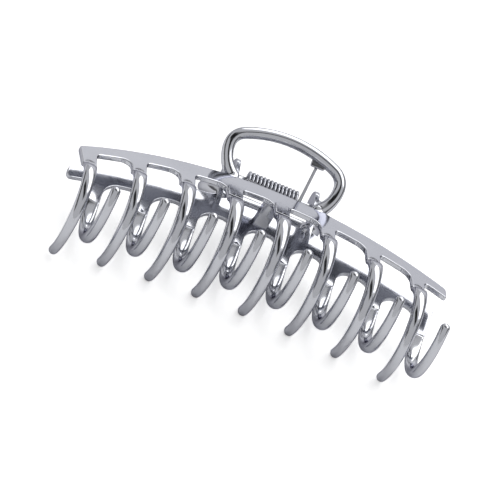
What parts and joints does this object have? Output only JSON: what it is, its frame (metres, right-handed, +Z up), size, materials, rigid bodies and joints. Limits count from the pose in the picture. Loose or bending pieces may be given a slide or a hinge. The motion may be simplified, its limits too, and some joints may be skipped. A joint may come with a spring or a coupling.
{
  "type": "claw hair clip",
  "caption": "Cast metal claw hair clip: two arched jaws with interlacing curved teeth and leaning D loop handles, hinged on a pin and held shut by a torsion spring.",
  "frame": {"origin": "middle of the bounding box in X and Y, on the surface that the clip lies on", "axes": "+X along the clip, parallel to the hinge pin; +Y from the teeth towards the handles; +Z up, from the rear jaw to the front jaw"},
  "size_m": [0.1102, 0.0572, 0.0294],
  "materials": {
    "plated_casting": "bright silver plating on a polished zinc casting",
    "pin_steel": "bright plated steel",
    "spring_wire": "bright nickel-plated spring wire"
  },
  "bodies": {
    "rear_half": {"rear_jaw": "plated_casting", "hinge_pin": "pin_steel", "torsion_spring": "spring_wire"},
    "front_half": {"front_jaw": "plated_casting"}
  },
  "joints": [
    {"name": "jaw_hinge", "type": "hinge", "parent": "rear_half", "child": "front_half", "pos_m": [0.0022, 0.01938, 0.01469], "axis": [-1, 0, 0], "range_deg": [0, 95], "stiffness_Nm_per_rad": 0.08, "springref_deg": -68.75, "deforming": ["torsion_spring"]}
  ]
}
